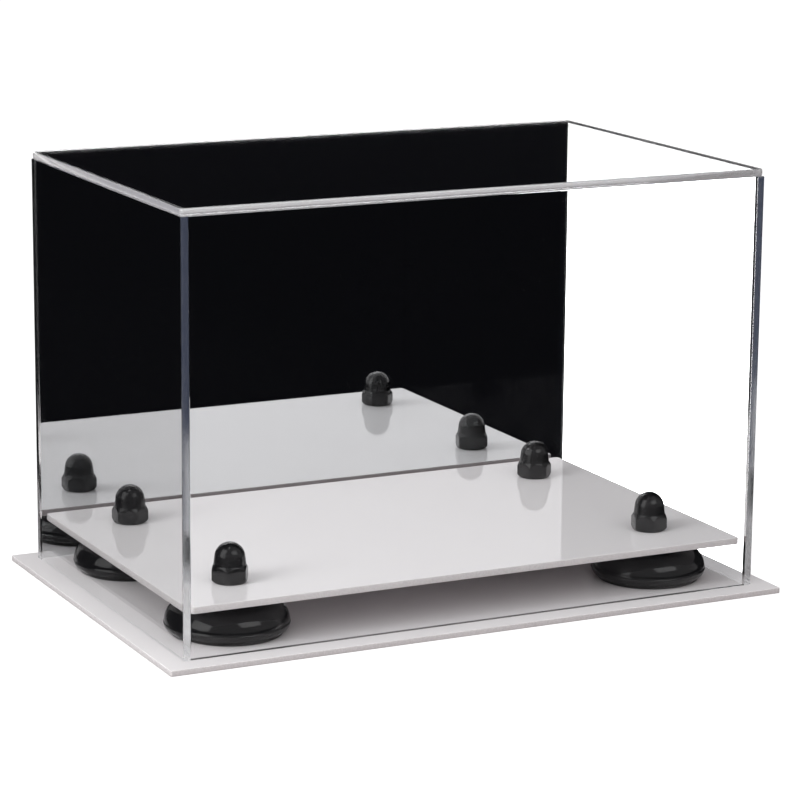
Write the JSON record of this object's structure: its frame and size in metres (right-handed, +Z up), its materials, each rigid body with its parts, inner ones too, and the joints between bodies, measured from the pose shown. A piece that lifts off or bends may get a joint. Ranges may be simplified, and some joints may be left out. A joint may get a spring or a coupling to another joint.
{
  "type": "football display case",
  "caption": "Clear box cover with a mirror back over a white base plate, and inside it a white shelf on round black risers with domed cap nuts.",
  "frame": {"origin": "middle of the base plate's underside, on the surface the case stands on", "axes": "+X along the long side of the case, +Y towards the mirror back, +Z up; the clear front faces -Y"},
  "size_m": [0.289, 0.1906, 0.1875],
  "materials": {
    "white_acrylic": "gloss",
    "clear_acrylic": "polished",
    "mirror_acrylic": "polished",
    "black_plastic": "satin",
    "black_rubber": "matte",
    "zinc_steel": "satin"
  },
  "bodies": {
    "base": {"base_plate": "white_acrylic"},
    "cover": {"cover_top": "clear_acrylic", "cover_front": "clear_acrylic", "cover_left": "clear_acrylic", "cover_right": "clear_acrylic", "mirror_back": "mirror_acrylic"},
    "stand": {"shelf_plate": "white_acrylic", "riser_foot_front_left": "black_plastic", "riser_foot_front_right": "black_plastic", "riser_foot_back_left": "black_plastic", "riser_foot_back_right": "black_plastic", "riser_pad_front_left": "black_rubber", "riser_pad_front_right": "black_rubber", "riser_pad_back_left": "black_rubber", "riser_pad_back_right": "black_rubber", "riser_bolt_front_left": "zinc_steel", "riser_bolt_front_right": "zinc_steel", "riser_bolt_back_left": "zinc_steel", "riser_bolt_back_right": "zinc_steel"},
    "nut_front_left": {"cap_nut_front_left": "black_plastic"},
    "nut_front_right": {"cap_nut_front_right": "black_plastic"},
    "nut_back_left": {"cap_nut_back_left": "black_plastic"},
    "nut_back_right": {"cap_nut_back_right": "black_plastic"}
  },
  "joints": [
    {"name": "cover_lift", "type": "slide", "parent": "base", "child": "cover", "axis": [0, 0, 1], "range_m": [0, 0.2]},
    {"name": "stand_lift", "type": "slide", "parent": "base", "child": "stand", "axis": [0, 0, 1], "range_m": [0, 0.12]},
    {"name": "nut_turn_front_left", "type": "hinge", "parent": "stand", "child": "nut_front_left", "pos_m": [-0.101, -0.05295, 0.024], "axis": [0, 0, 1], "continuous": true},
    {"name": "nut_turn_front_right", "type": "hinge", "parent": "stand", "child": "nut_front_right", "pos_m": [0.101, -0.05295, 0.024], "axis": [0, 0, 1], "continuous": true},
    {"name": "nut_turn_back_left", "type": "hinge", "parent": "stand", "child": "nut_back_left", "pos_m": [-0.101, 0.05295, 0.024], "axis": [0, 0, 1], "continuous": true},
    {"name": "nut_turn_back_right", "type": "hinge", "parent": "stand", "child": "nut_back_right", "pos_m": [0.101, 0.05295, 0.024], "axis": [0, 0, 1], "continuous": true}
  ]
}
